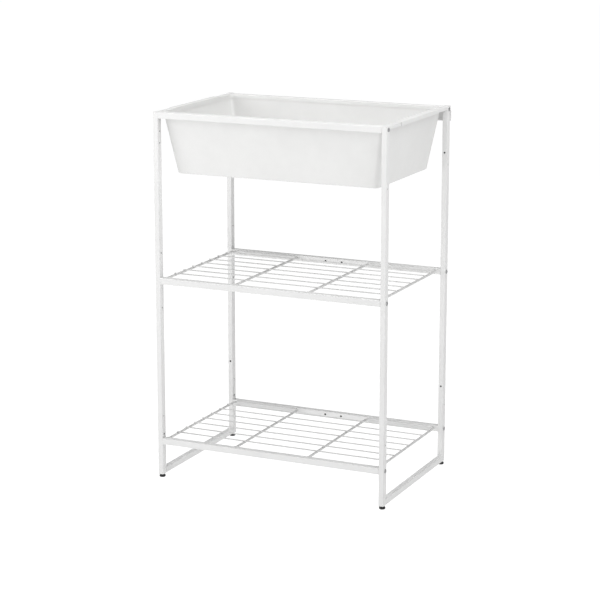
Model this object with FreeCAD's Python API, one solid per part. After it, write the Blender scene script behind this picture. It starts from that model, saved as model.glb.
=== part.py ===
"""Raised planter on legs: a slim steel stand with two wire shelves and a flared sheet-metal tub.

Frame of the part: X to the right, Y to the back, Z up, millimetres.
The origin is on the floor, under the middle of the whole object.
"""
import FreeCAD, Part
import math
import os

V = FreeCAD.Vector

# Overall size
OVERALL_WIDTH = 600.0      # over the screw heads
OVERALL_DEPTH = 400.0      # from the front posts to the rear corner plates
OVERALL_HEIGHT = 900.0     # to the top of the tub's hanging lips

# Tubes
POST_W = 13.0              # post section along X
POST_D = 17.0              # post section along Y
RAIL_H = 15.0              # height of the rails and the bottom crossbars
TOP_CROSSBAR_H = 8.0       # height of the top crossbars
TUBE_WALL = 1.2
TUBE_EDGE_R = 0.8          # rounding along the tubes' edges

# Sheet and plate
SHEET = 1.0                # tub wall
PLATE = 2.0                # rear corner plates

# Fasteners
SCREW_R = 2.5
SCREW_HEAD_R = 4.8
SCREW_HEAD_H = 2.0
SCREW_REACH = 11.0         # how far a screw goes into the rail's end
SCREW_PLAY = 0.2           # radial play of a screw in a post
THREAD_PLAY = 0.05         # radial play of a screw or stud in its thread
INSERT_LENGTH = 12.0

# Levelling feet
FOOT_HEIGHT = 8.0
FOOT_PAD_R = 7.5
FOOT_PAD_H = 5.5
FOOT_EDGE_R = 1.2
FOOT_NECK_R = 5.0
STUD_R = 3.0
STUD_LENGTH = 24.0
FOOT_INSERT_LENGTH = 14.0

# Shelves
MIDDLE_SHELF_Z = 500.0     # top of the middle shelf's rails
LOWER_SHELF_Z = 100.0      # top of the lower shelf's rails
ROD_R = 3.0                # bent rods under the wires
ROD_BEND_R = 12.0
ROD_DROP = 4.0             # rod axis below the rails' top
ROD_OUTER_X = 278.0
ROD_INNER_X = 96.0
WIRE_R = 1.6
WIRE_COUNT = 7

# Tub
TUB_BOTTOM_Z = 749.0
TUB_CLEARANCE = 1.0        # between the tub's top and the frame, each side
TUB_FLARE = 25.0           # how far each wall leans out from bottom to top
TUB_TOP_CORNER_R = 14.0
TUB_BOTTOM_CORNER_R = 9.0
HEM_HEIGHT = 8.0           # folded edge inside the rim
LIP_LENGTH = 230.0         # hanging lips over the two top crossbars
LIP_DROP = 8.0
LIP_GAP = 0.5              # between a lip and the crossbar's outer face
LIP_BEND_R = 1.4

# Small holes
HOLE_R = 2.0
REAR_HOLE_R = 2.3
RAIL_HOLE_R = 2.5
RAIL_HOLE_SPACING = 44.0
PLATE_HOLE_R = 2.75
INNER_HOLE_HEIGHTS = (155.0, 425.0, 560.0, 825.0, 853.0)
OUTER_HOLE_HEIGHTS = (155.0, 757.0)
REAR_HOLE_HEIGHTS = (203.0, 787.0)
STOP_HOLE_Z = 110.0
STOP_HOLE_R = 2.8
CROSSBAR_HOLE_OFFSETS = (122.0, 152.0)

# Rear corner plates
CORNER_PLATE_W = 43.0
CORNER_PLATE_BOTTOM = 862.0
CORNER_PLATE_TOP = 889.0
CORNER_PLATE_HOLE_INSET = 9.0
CORNER_SCREW_R = 2.0
CORNER_SCREW_HEAD_R = 3.9
CORNER_SCREW_LENGTH = 11.0

# Worked out from the above
SIDE = OVERALL_WIDTH / 2 - SCREW_HEAD_H            # outer face of the posts
INNER = SIDE - POST_W                              # inner face of the posts
FRONT = -OVERALL_DEPTH / 2                         # front face of the front posts
BACK = OVERALL_DEPTH / 2 - PLATE                   # back face of the rear posts
FRONT_IN = FRONT + POST_D
BACK_IN = BACK - POST_D
MID_Y = (FRONT + BACK) / 2
TOP = OVERALL_HEIGHT - SHEET                       # top of the frame
POST_BOTTOM = FOOT_HEIGHT
FRONT_ROW_Y = FRONT + POST_D / 2
BACK_ROW_Y = BACK - POST_D / 2
POST_X = SIDE - POST_W / 2


def save(node, solids):
    """Write one node; a node of several like pieces is a compound of separate solids."""
    shape = solids[0] if len(solids) == 1 else Part.makeCompound(solids)
    shape.exportStep(os.path.join("parts", node + ".step"))
    print(node, len(solids), round(sum(s.Volume for s in solids) / 1000, 2), "cm3")


def box(x0, x1, y0, y1, z0, z1):
    return Part.makeBox(x1 - x0, y1 - y0, z1 - z0, V(x0, y0, z0))


def rod(radius, start, end):
    return Part.makeCylinder(radius, (end - start).Length, start, end - start)


def mirror_x(shape):
    return shape.mirror(V(0, 0, 0), V(1, 0, 0))


def tube(x0, x1, y0, y1, z0, z1, axis):
    """Rectangular tube, open at both ends, along axis 0, 1 or 2, with rounded long edges."""
    low = [x0, y0, z0]
    high = [x1, y1, z1]
    outer = box(x0, x1, y0, y1, z0, z1)
    long_edges = [e for e in outer.Edges if abs(e.tangentAt(0)[axis]) > 0.9]
    outer = outer.makeFillet(TUBE_EDGE_R, long_edges)
    for i in range(3):
        grow = TUBE_WALL if i != axis else -1.0
        low[i] += grow
        high[i] -= grow
    return outer.cut(box(low[0], high[0], low[1], high[1], low[2], high[2]))


def drill(shape, radius, x_or_y, point, length):
    """Cut a round hole from point along X ("x") or Y ("y")."""
    direction = V(length, 0, 0) if x_or_y == "x" else V(0, length, 0)
    return shape.cut(rod(radius, point, point + direction))


def rail_mid_heights():
    return [TOP - RAIL_H / 2, MIDDLE_SHELF_Z - RAIL_H / 2, LOWER_SHELF_Z - RAIL_H / 2]


def make_post(is_rear):
    """Right-hand post; the left-hand one is its mirror image."""
    y0 = BACK_IN if is_rear else FRONT
    y_mid = y0 + POST_D / 2
    post = tube(INNER, SIDE, y0, y0 + POST_D, POST_BOTTOM, TOP, 2)
    for z in rail_mid_heights():
        post = drill(post, SCREW_R + SCREW_PLAY, "x", V(INNER - 1, y_mid, z), POST_W + 2)
    for z in INNER_HOLE_HEIGHTS:
        post = drill(post, HOLE_R, "x", V(INNER - 1, y_mid, z), TUBE_WALL + 2)
    post = drill(post, STOP_HOLE_R, "x", V(INNER - 1, y_mid, STOP_HOLE_Z), TUBE_WALL + 2)
    for z in OUTER_HOLE_HEIGHTS:
        post = drill(post, HOLE_R, "x", V(SIDE - TUBE_WALL - 1, y_mid, z), TUBE_WALL + 2)
    if is_rear:
        for z in REAR_HOLE_HEIGHTS:
            post = drill(post, REAR_HOLE_R, "y", V(POST_X, y0 - 1, z), TUBE_WALL + 2)
        plate_screw = V(POST_X, BACK - TUBE_WALL - 1, (CORNER_PLATE_BOTTOM + CORNER_PLATE_TOP) / 2)
        post = drill(post, CORNER_SCREW_R + THREAD_PLAY, "y", plate_screw, TUBE_WALL + 2)
    return post


def make_crossbar(top_z, height, has_top_holes):
    """Right-hand tube between the front and rear posts."""
    bar = tube(INNER, SIDE, FRONT_IN, BACK_IN, top_z - height, top_z, 1)
    if has_top_holes:
        for offset in CROSSBAR_HOLE_OFFSETS:
            for y in (MID_Y - offset, MID_Y + offset):
                bottom = V(POST_X, y, top_z - TUBE_WALL - 1)
                bar = bar.cut(rod(HOLE_R, bottom, bottom + V(0, 0, TUBE_WALL + 2)))
    return bar


def make_rail(is_rear, top_z, has_wall_holes):
    """Tube between the left and right posts."""
    y0 = BACK_IN if is_rear else FRONT
    rail = tube(-INNER, INNER, y0, y0 + POST_D, top_z - RAIL_H, top_z, 0)
    if has_wall_holes:
        for x in (-RAIL_HOLE_SPACING / 2, RAIL_HOLE_SPACING / 2):
            start = V(x, y0 - 1, top_z - RAIL_H / 2)
            rail = drill(rail, RAIL_HOLE_R, "y", start, POST_D + 2)
    return rail


def make_screw():
    """Round-headed screw along -X, with its head's underside at the origin and a hex socket."""
    head = Part.makeCylinder(SCREW_HEAD_R, SCREW_HEAD_H, V(0, 0, 0), V(1, 0, 0))
    rim = [e for e in head.Edges if abs(e.BoundBox.XMin - SCREW_HEAD_H) < 0.01 and e.Length > 1]
    head = head.makeFillet(SCREW_HEAD_H * 0.6, rim[:1])
    shank = rod(SCREW_R, V(0.5, 0, 0), V(-POST_W - SCREW_REACH, 0, 0))
    corners = [V(0.7, 1.6 * math.cos(a), 1.6 * math.sin(a))
               for a in [math.radians(60 * i) for i in range(7)]]
    socket = Part.Face(Part.makePolygon(corners)).extrude(V(2, 0, 0))
    return head.fuse(shank).cut(socket).removeSplitter()


def at_four_corners(shape, x_offset, z):
    """Copies of a right-hand piece at both ends of the front and the rear row."""
    placed = []
    for y in (FRONT_ROW_Y, BACK_ROW_Y):
        right = shape.copy()
        right.translate(V(x_offset, y, z))
        placed += [right, mirror_x(right)]
    return placed


def make_rail_insert():
    """Threaded block in the end of a rail; its outer end is at the origin and it reaches to -X."""
    half_y = POST_D / 2 - TUBE_WALL
    half_z = RAIL_H / 2 - TUBE_WALL
    block = box(-INSERT_LENGTH, 0, -half_y, half_y, -half_z, half_z)
    return block.cut(rod(SCREW_R + THREAD_PLAY, V(-INSERT_LENGTH - 1, 0, 0), V(1, 0, 0)))


def make_post_block(length, bore_r):
    """Block that fills the inside of a post, centred on the origin's Z axis and standing on it."""
    half_x = POST_W / 2 - TUBE_WALL
    half_y = POST_D / 2 - TUBE_WALL
    block = box(-half_x, half_x, -half_y, half_y, 0, length)
    if bore_r:
        block = block.cut(rod(bore_r, V(0, 0, -1), V(0, 0, length + 1)))
    return block


def make_bent_rod(top_z):
    """Right-hand U-shaped shelf rod: two legs to the front rail, joined in front of the rear rail."""
    z = top_z - ROD_DROP
    back_y = BACK_IN - ROD_R
    bend = ROD_BEND_R
    swing = bend * (1 - math.cos(math.radians(45)))
    path = Part.Wire([
        Part.LineSegment(V(ROD_OUTER_X, FRONT_IN, z), V(ROD_OUTER_X, back_y - bend, z)).toShape(),
        Part.Arc(V(ROD_OUTER_X, back_y - bend, z), V(ROD_OUTER_X - swing, back_y - swing, z),
                 V(ROD_OUTER_X - bend, back_y, z)).toShape(),
        Part.LineSegment(V(ROD_OUTER_X - bend, back_y, z), V(ROD_INNER_X + bend, back_y, z)).toShape(),
        Part.Arc(V(ROD_INNER_X + bend, back_y, z), V(ROD_INNER_X + swing, back_y - swing, z),
                 V(ROD_INNER_X, back_y - bend, z)).toShape(),
        Part.LineSegment(V(ROD_INNER_X, back_y - bend, z), V(ROD_INNER_X, FRONT_IN, z)).toShape()])
    section = Part.Wire(Part.makeCircle(ROD_R, V(ROD_OUTER_X, FRONT_IN, z), V(0, 1, 0)))
    return path.makePipeShell([section], True, False)


def make_cross_wires(top_z):
    """Straight wires across the shelf, lying on the bent rods at an even pitch."""
    z = top_z - ROD_DROP + ROD_R + WIRE_R
    pitch = (BACK_IN - FRONT_IN) / (WIRE_COUNT + 1)
    reach = ROD_OUTER_X + ROD_R
    wires = []
    for i in range(1, WIRE_COUNT + 1):
        y = FRONT_IN + pitch * i
        wires.append(rod(WIRE_R, V(-reach, y, z), V(reach, y, z)))
    return wires


def rounded_outline(half_x, half_y, radius, z):
    """Closed rectangle with round corners, centred on the frame."""
    edges = []
    signs = ((1, 1), (-1, 1), (-1, -1), (1, -1))
    for i, (sx, sy) in enumerate(signs):
        centre = V(sx * (half_x - radius), MID_Y + sy * (half_y - radius), z)
        circle = Part.Circle(centre, V(0, 0, 1), radius)
        edges.append(Part.ArcOfCircle(circle, math.pi / 2 * i, math.pi / 2 * (i + 1)).toShape())
    ends = []
    for i in range(4):
        here = edges[i].valueAt(edges[i].LastParameter)
        there = edges[(i + 1) % 4].valueAt(edges[(i + 1) % 4].FirstParameter)
        ends.append(Part.LineSegment(here, there).toShape())
    return Part.Wire([edge for pair in zip(edges, ends) for edge in pair])


def tub_half_sizes(z):
    """Half width, half depth and corner radius of the tub's outside at a height."""
    share = (z - TUB_BOTTOM_Z) / (TOP - TUB_BOTTOM_Z)
    lean = TUB_FLARE * (1 - share)
    half_x = INNER - TUB_CLEARANCE - lean
    half_y = (BACK_IN - FRONT_IN) / 2 - TUB_CLEARANCE - lean
    radius = TUB_BOTTOM_CORNER_R + (TUB_TOP_CORNER_R - TUB_BOTTOM_CORNER_R) * share
    return half_x, half_y, radius


def tub_loft(z0, z1, inset):
    outlines = []
    for z in (z0, z1):
        half_x, half_y, radius = tub_half_sizes(z)
        outlines.append(rounded_outline(half_x - inset, half_y - inset, radius - inset, z))
    return Part.makeLoft(outlines, True, True)


def make_lip():
    """Right-hand hanging lip: flat over the crossbar, then folded down outside it."""
    inner_x = tub_half_sizes(TOP)[0] - SHEET
    outer_x = SIDE + LIP_GAP + SHEET
    y0 = MID_Y - LIP_LENGTH / 2
    y1 = MID_Y + LIP_LENGTH / 2
    lip = box(inner_x, outer_x, y0, y1, TOP - LIP_DROP, TOP + SHEET)
    fold = [e for e in lip.Edges
            if abs(e.BoundBox.XMin - outer_x) < 0.01 and abs(e.BoundBox.ZMin - TOP - SHEET) < 0.01
            and e.BoundBox.YLength > LIP_LENGTH - 1]
    lip = lip.makeFillet(LIP_BEND_R, fold)
    return lip.cut(box(inner_x - 1, SIDE + LIP_GAP, y0 - 1, y1 + 1, TOP - LIP_DROP - 1, TOP))


def make_tub():
    """Flared tub with a folded hem round the rim and a hanging lip at each end."""
    shell = tub_loft(TUB_BOTTOM_Z, TOP, 0.0)
    shell = shell.cut(tub_loft(TUB_BOTTOM_Z + SHEET, TOP - HEM_HEIGHT, SHEET))
    shell = shell.cut(tub_loft(TOP - HEM_HEIGHT - 0.01, TOP + 1.0, 2 * SHEET))
    lip = make_lip()
    return shell.fuse([lip, mirror_x(lip)]).removeSplitter()


def make_corner_plate():
    """Right-hand rear plate: hooks over the post's top and is screwed to its back."""
    mid_z = (CORNER_PLATE_BOTTOM + CORNER_PLATE_TOP) / 2
    outer_x = SIDE + PLATE
    inner_x = outer_x - CORNER_PLATE_W
    plate = box(inner_x, outer_x, BACK, BACK + PLATE, CORNER_PLATE_BOTTOM, CORNER_PLATE_TOP)
    corners = [e for e in plate.Edges if abs(e.tangentAt(0).y) > 0.9]
    plate = plate.makeFillet(PLATE, corners)
    neck = box(INNER, SIDE, BACK, BACK + PLATE, CORNER_PLATE_TOP - PLATE, TOP)
    tab = box(INNER, SIDE, BACK_IN, BACK + PLATE, TOP, TOP + SHEET)
    plate = plate.fuse([neck, tab]).removeSplitter()
    plate = drill(plate, PLATE_HOLE_R, "y", V(inner_x + CORNER_PLATE_HOLE_INSET, BACK - 1, mid_z), PLATE + 2)
    return plate.cut(corner_screw_body(THREAD_PLAY))


def corner_screw_body(extra):
    """Countersunk screw from the plate's back into the right rear post."""
    mid_z = (CORNER_PLATE_BOTTOM + CORNER_PLATE_TOP) / 2
    face = BACK + PLATE
    head = Part.makeCone(CORNER_SCREW_HEAD_R + extra, CORNER_SCREW_R + extra, PLATE,
                         V(POST_X, face, mid_z), V(0, -1, 0))
    shank = rod(CORNER_SCREW_R + extra, V(POST_X, face, mid_z), V(POST_X, face - CORNER_SCREW_LENGTH, mid_z))
    return head.fuse(shank).removeSplitter()


def make_corner_screw():
    """The countersunk screw with a cross slot in its head."""
    mid_z = (CORNER_PLATE_BOTTOM + CORNER_PLATE_TOP) / 2
    face = BACK + PLATE
    screw = corner_screw_body(0.0)
    for half_x, half_z in ((1.8, 0.4), (0.4, 1.8)):
        screw = screw.cut(box(POST_X - half_x, POST_X + half_x, face - 1.0, face + 1.0,
                              mid_z - half_z, mid_z + half_z))
    return screw


def make_foot_pad():
    """Round glide with a short neck, standing on the origin."""
    pad = Part.makeCylinder(FOOT_PAD_R, FOOT_PAD_H)
    rims = [e for e in pad.Edges if e.Closed]
    pad = pad.makeFillet(FOOT_EDGE_R, rims)
    neck = rod(FOOT_NECK_R, V(0, 0, FOOT_PAD_H - 0.5), V(0, 0, FOOT_HEIGHT))
    socket = rod(STUD_R, V(0, 0, FOOT_PAD_H / 2), V(0, 0, FOOT_HEIGHT + 1))
    return pad.fuse(neck).cut(socket).removeSplitter()


def make_foot_stud():
    """Threaded stud moulded into a foot pad."""
    stud = rod(STUD_R, V(0, 0, FOOT_PAD_H / 2), V(0, 0, FOOT_HEIGHT + STUD_LENGTH))
    tip = [e for e in stud.Edges if e.Closed and e.BoundBox.ZMin > FOOT_HEIGHT]
    return stud.makeChamfer(0.6, tip)


def save_pair(node, right):
    """Save a right-hand piece and its left-hand mirror image; node holds a {side} mark."""
    save(node.format(side="right"), [right])
    save(node.format(side="left"), [mirror_x(right)])


def build_frame():
    for row, is_rear in (("front", False), ("rear", True)):
        save_pair(row + "_{side}_post", make_post(is_rear))
        save("top_" + row + "_rail", [make_rail(is_rear, TOP, False)])
        save("middle_shelf_" + row + "_rail", [make_rail(is_rear, MIDDLE_SHELF_Z, is_rear)])
        save("lower_shelf_" + row + "_rail", [make_rail(is_rear, LOWER_SHELF_Z, is_rear)])
    save_pair("{side}_top_crossbar", make_crossbar(TOP, TOP_CROSSBAR_H, True))
    save_pair("{side}_bottom_crossbar", make_crossbar(POST_BOTTOM + RAIL_H, RAIL_H, False))
    cap = make_post_block(3.0, 0.0)
    save("post_top_caps", at_four_corners(cap, POST_X, TOP - 3.0))


def build_shelves():
    for level, top_z in (("middle", MIDDLE_SHELF_Z), ("lower", LOWER_SHELF_Z)):
        save_pair(level + "_shelf_{side}_rod", make_bent_rod(top_z))
        save(level + "_shelf_cross_wires", make_cross_wires(top_z))


def build_fasteners():
    screw = make_screw()
    insert = make_rail_insert()
    for level, z in zip(("top", "middle_shelf", "lower_shelf"), rail_mid_heights()):
        save(level + "_rail_screws", at_four_corners(screw, SIDE, z))
        save(level + "_rail_nut_blocks", at_four_corners(insert, INNER, z))
    save_pair("rear_{side}_corner_plate", make_corner_plate())
    corner_screw = make_corner_screw()
    save("corner_plate_screws", [corner_screw, mirror_x(corner_screw)])


def build_feet():
    block = make_post_block(FOOT_INSERT_LENGTH, STUD_R + THREAD_PLAY)
    save("foot_nut_blocks", at_four_corners(block, POST_X, POST_BOTTOM))
    for row, y in (("front", FRONT_ROW_Y), ("rear", BACK_ROW_Y)):
        for name, piece in (("foot_pad", make_foot_pad()), ("foot_stud", make_foot_stud())):
            piece.translate(V(POST_X, y, 0))
            save_pair(row + "_{side}_" + name, piece)


os.makedirs("parts", exist_ok=True)
build_frame()
build_shelves()
build_fasteners()
build_feet()
save("planter_tub", [make_tub()])
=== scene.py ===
"""Raised planter on legs: painted steel stand, two wire shelves and a hanging sheet-metal tub.

Every piece is modelled round the packed frame, in metres, +X to the right, +Y to the back, +Z up.
"""
import contextlib
import math

import bmesh
import bpy
from bpy.props import FloatProperty, FloatVectorProperty, IntProperty, PointerProperty
from bpy.types import Operator, Panel, PropertyGroup
from mathutils import Matrix, Vector


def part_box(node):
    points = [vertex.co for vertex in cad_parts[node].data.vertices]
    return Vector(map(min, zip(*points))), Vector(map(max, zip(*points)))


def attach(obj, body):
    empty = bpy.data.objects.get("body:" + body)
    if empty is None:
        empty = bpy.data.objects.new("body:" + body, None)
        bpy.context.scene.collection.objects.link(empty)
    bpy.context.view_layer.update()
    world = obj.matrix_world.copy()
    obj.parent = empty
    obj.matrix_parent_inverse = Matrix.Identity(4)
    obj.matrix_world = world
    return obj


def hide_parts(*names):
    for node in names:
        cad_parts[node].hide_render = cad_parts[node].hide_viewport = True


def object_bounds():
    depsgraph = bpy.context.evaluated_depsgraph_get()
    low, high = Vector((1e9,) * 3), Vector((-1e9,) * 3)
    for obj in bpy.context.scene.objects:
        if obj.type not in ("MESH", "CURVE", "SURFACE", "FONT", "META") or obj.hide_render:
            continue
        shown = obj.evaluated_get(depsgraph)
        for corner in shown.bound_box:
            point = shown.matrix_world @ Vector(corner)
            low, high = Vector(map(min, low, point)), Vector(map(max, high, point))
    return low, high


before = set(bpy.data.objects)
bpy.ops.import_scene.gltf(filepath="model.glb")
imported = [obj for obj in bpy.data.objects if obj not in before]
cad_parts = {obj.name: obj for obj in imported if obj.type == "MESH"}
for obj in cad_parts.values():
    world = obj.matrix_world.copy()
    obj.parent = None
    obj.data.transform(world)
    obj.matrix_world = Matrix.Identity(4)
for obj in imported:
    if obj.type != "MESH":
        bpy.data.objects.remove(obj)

bl_info = {
    "name": "Raised planter on legs",
    "version": (1, 0, 0),
    "blender": (4, 5, 0),
    "location": "View3D > Sidebar > Planter",
    "description": "Models and paints a raised planter round its packed frame",
    "category": "Object",
}

CAD_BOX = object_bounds()
SIDES = ("left", "right")
ROWS = ("front", "rear")
SHELVES = ("middle_shelf", "lower_shelf")
MILLIMETRE = 0.001
TOUCH = 0.0001           # how near a face or edge lies to the place that it is picked by


# ---------------------------------------------------------------- sizes and colours

class PlanterSizes(PropertyGroup):
    """Shapes that the frame leaves open."""

    tube_edge: FloatProperty(
        name="Tube edge radius", description="Rounding along the square tubes",
        default=0.0014, unit="LENGTH", min=0.0)
    tube_wall: FloatProperty(
        name="Tube wall", description="Wall thickness of the square tubes",
        default=0.0012, unit="LENGTH", min=0.0)
    rod_bend: FloatProperty(
        name="Rod bend radius", description="Bend radius along the middle of the shelf rods",
        default=0.012, unit="LENGTH", min=0.0)
    weld: FloatProperty(
        name="Weld size", description="Radius of the weld beads in the frame's corners",
        default=0.0011, unit="LENGTH", min=0.0)
    sheet: FloatProperty(
        name="Sheet thickness", description="Thickness of the tub's sheet metal",
        default=0.001, unit="LENGTH", min=0.0)
    flare: FloatProperty(
        name="Tub flare", description="How far each wall leans out from bottom to top",
        default=0.025, unit="LENGTH", min=0.0)
    tub_corner: FloatProperty(
        name="Tub corner radius", description="Radius of the tub's four upright corners",
        default=0.012, unit="LENGTH", min=0.0)
    tub_bend: FloatProperty(
        name="Tub floor bend", description="Radius between the tub's floor and walls",
        default=0.0035, unit="LENGTH", min=0.0)
    hem: FloatProperty(
        name="Hem height", description="Height of the edge folded down inside the rim",
        default=0.008, unit="LENGTH", min=0.0)
    lip_length: FloatProperty(
        name="Lip length", description="Length of each hanging lip along the crossbar",
        default=0.230, unit="LENGTH", min=0.0)
    round_sides: IntProperty(
        name="Sides of round pieces", description="Facets round a rod, wire or screw",
        default=24, min=8)


class PlanterColours(PropertyGroup):
    """Finishes of the painted, plated and moulded pieces."""

    frame_white: FloatVectorProperty(
        name="Frame white", description="Powder coat on the tubes and plates",
        default=(0.745, 0.745, 0.742), subtype="COLOR", min=0.0, max=1.0)
    # Set darker than the frame's white, as painted shade on the thin rods and wires
    shaded_wire_white: FloatVectorProperty(
        name="Wire white", description="Powder coat on the shelves' rods and wires",
        default=(0.63, 0.63, 0.627), subtype="COLOR", min=0.0, max=1.0)
    tub_white: FloatVectorProperty(
        name="Tub white", description="Powder coat on the tub",
        default=(0.75, 0.75, 0.743), subtype="COLOR", min=0.0, max=1.0)
    coat_roughness: FloatProperty(
        name="Coat roughness", description="Roughness of the powder coat",
        default=0.42, subtype="FACTOR", min=0.0, max=1.0)
    coat_texture: FloatProperty(
        name="Coat texture", description="Depth of the powder coat's orange peel",
        default=0.00004, unit="LENGTH", min=0.0)
    zinc: FloatVectorProperty(
        name="Zinc grey", description="Plating on screws, studs and nut blocks",
        default=(0.36, 0.36, 0.365), subtype="COLOR", min=0.0, max=1.0)
    # Uncoated steel inside the tubes, set far darker than bare steel so that it paints shade deep in
    # the holes
    bare_steel_hole_shade: FloatVectorProperty(
        name="Bare steel", description="Dark uncoated steel inside the tubes",
        default=(0.045, 0.044, 0.043), subtype="COLOR", min=0.0, max=1.0)
    foot_black: FloatVectorProperty(
        name="Foot black", description="Moulded plastic of the levelling feet",
        default=(0.012, 0.012, 0.013), subtype="COLOR", min=0.0, max=1.0)


class PlanterStudio(PropertyGroup):
    """Floor, light and camera."""

    floor_glow: FloatProperty(
        name="Floor glow", description="Light that the white floor gives off", default=0.97, min=0.0)
    sky: FloatProperty(
        name="Sky", description="Strength of the even light all round", default=0.2, min=0.0)
    left_light: FloatProperty(
        name="Left light", description="Power of the low softbox on the left", default=42.0,
        unit="POWER", min=0.0)
    top_light: FloatProperty(
        name="Top light", description="Power of the softbox overhead", default=54.0,
        unit="POWER", min=0.0)
    right_light: FloatProperty(
        name="Right light", description="Power of the raised softbox on the right", default=41.0,
        unit="POWER", min=0.0)
    azimuth: FloatProperty(
        name="Camera azimuth", description="Angle round the planter, from the front to the right",
        default=math.radians(24.86), unit="ROTATION")
    elevation: FloatProperty(
        name="Camera elevation", description="Angle above the horizon",
        default=math.radians(13.02), unit="ROTATION")
    distance: FloatProperty(
        name="Camera distance", description="Distance to the middle of the planter",
        default=4.914, unit="LENGTH", min=0.1)
    lens: FloatProperty(
        name="Lens", description="Focal length in millimetres", default=121.4, unit="CAMERA", min=1.0)
    aim: FloatVectorProperty(
        name="Camera aim", description="Offset of the point looked at from the planter's middle",
        default=(-0.0055, -0.007, -0.017), subtype="TRANSLATION", unit="LENGTH")


# ---------------------------------------------------------------- modelling helpers

def deselect_all():
    if bpy.context.object and bpy.context.object.mode != "OBJECT":
        bpy.ops.object.mode_set(mode="OBJECT")
    bpy.ops.object.select_all(action="DESELECT")


def make_active(piece):
    deselect_all()
    piece.select_set(True)
    bpy.context.view_layer.objects.active = piece


@contextlib.contextmanager
def editing(piece):
    """Edit mode on one piece, with nothing selected."""
    make_active(piece)
    bpy.ops.object.mode_set(mode="EDIT")
    bpy.ops.mesh.select_all(action="DESELECT")
    yield
    bpy.ops.object.mode_set(mode="OBJECT")


def settle(name):
    """Name the primitive just added and put its place into its mesh."""
    piece = bpy.context.object
    piece.name = name
    piece.data.name = name
    bpy.ops.object.transform_apply(location=True, rotation=True, scale=True)
    return piece


def add_block(name, low, high):
    deselect_all()
    low, high = Vector(low), Vector(high)
    bpy.ops.mesh.primitive_cube_add(size=1.0, location=(low + high) / 2, scale=high - low)
    return settle(name)


def add_rod(name, start, end, radius, sides):
    deselect_all()
    start, end = Vector(start), Vector(end)
    along = end - start
    turn = along.to_track_quat("Z", "Y").to_euler()
    bpy.ops.mesh.primitive_cylinder_add(
        vertices=sides, radius=radius, depth=along.length, location=(start + end) / 2, rotation=turn)
    return settle(name)


def add_disc(name, centre, facing, radius, sides):
    """One flat round face that looks along facing."""
    deselect_all()
    turn = Vector(facing).to_track_quat("Z", "Y").to_euler()
    bpy.ops.mesh.primitive_circle_add(
        vertices=sides, radius=radius, fill_type="NGON", location=centre, rotation=turn)
    return settle(name)


def select_faces(piece, test):
    """Select the faces whose centre and normal pass the test."""
    bpy.ops.mesh.select_mode(type="FACE")
    bpy.ops.mesh.select_all(action="DESELECT")
    mesh = bmesh.from_edit_mesh(piece.data)
    chosen = [f for f in mesh.faces if test(f.calc_center_median(), f.normal)]
    if not chosen:
        raise RuntimeError(f"{piece.name}: no face where one was expected")
    for face in chosen:
        face.select_set(True)
    bmesh.update_edit_mesh(piece.data)


def select_edges(piece, test):
    """Select the edges whose two ends pass the test."""
    bpy.ops.mesh.select_mode(type="EDGE")
    bpy.ops.mesh.select_all(action="DESELECT")
    mesh = bmesh.from_edit_mesh(piece.data)
    chosen = [e for e in mesh.edges if test(e.verts[0].co, e.verts[1].co)]
    if not chosen:
        raise RuntimeError(f"{piece.name}: no edge where one was expected")
    for edge in chosen:
        edge.select_set(True)
    bmesh.update_edit_mesh(piece.data)


def extrude(x=0.0, y=0.0, z=0.0):
    bpy.ops.mesh.extrude_region_move(TRANSFORM_OT_translate={"value": (x, y, z)})


def grow(x, y, z, centre):
    bpy.ops.transform.resize(value=(x, y, z), center_override=centre)


def inset(inwards, along=0.0):
    bpy.ops.mesh.inset(thickness=inwards, depth=along, use_even_offset=True)


def bevel(width, segments):
    bpy.ops.mesh.bevel(offset_type="OFFSET", offset=width, segments=segments, profile=0.5,
                       affect="EDGES", clamp_overlap=True)


def spin_quarter(centre, axis, steps, way):
    """Sweep what is selected through a quarter turn; way is 1 or -1."""
    bpy.ops.mesh.spin(steps=steps, angle=math.radians(90) * way, center=centre, axis=axis)


def outward_normals(piece):
    with editing(piece):
        bpy.ops.mesh.select_all(action="SELECT")
        bpy.ops.mesh.remove_doubles(threshold=0.000002)
        bpy.ops.mesh.normals_make_consistent(inside=False)


def join(name, parts):
    deselect_all()
    for part in parts:
        part.select_set(True)
    bpy.context.view_layer.objects.active = parts[0]
    if len(parts) > 1:
        bpy.ops.object.join()
    parts[0].name = name
    parts[0].data.name = name
    return parts[0]


def copies(name, master, places):
    """Copies of a master, each with its own mesh, moved by a matrix and joined; the master goes."""
    made = []
    for place in places:
        copy = bpy.data.objects.new(name, master.data.copy())
        copy.data.transform(place)
        bpy.context.scene.collection.objects.link(copy)
        made.append(copy)
    bpy.data.objects.remove(master)
    return join(name, made)


def combine(piece, tool, operation):
    """Boolean of two pieces; the tool goes."""
    make_active(piece)
    change = piece.modifiers.new("combine", "BOOLEAN")
    change.operation = operation
    change.solver = "EXACT"
    change.object = tool
    bpy.ops.object.modifier_apply(modifier=change.name)
    bpy.data.objects.remove(tool)
    return piece


def smooth(piece, angle=35.0):
    """Smooth shading that keeps flat faces flat and hard edges sharp."""
    make_active(piece)
    bpy.ops.object.shade_smooth_by_angle(angle=math.radians(angle))
    change = piece.modifiers.new("even shading", "WEIGHTED_NORMAL")
    change.keep_sharp = True
    bpy.ops.object.modifier_apply(modifier=change.name)
    return piece


def mirrored(side):
    return -1.0 if side == "left" else 1.0


def deliver(piece, body, slot, material, *nodes):
    """Paint a finished piece, fix it to its body and let it stand for its CAD nodes."""
    piece.data.materials.clear()
    piece.data.materials.append(material)
    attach(piece, body)
    if nodes:
        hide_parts(*nodes)


# ---------------------------------------------------------------- materials

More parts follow.
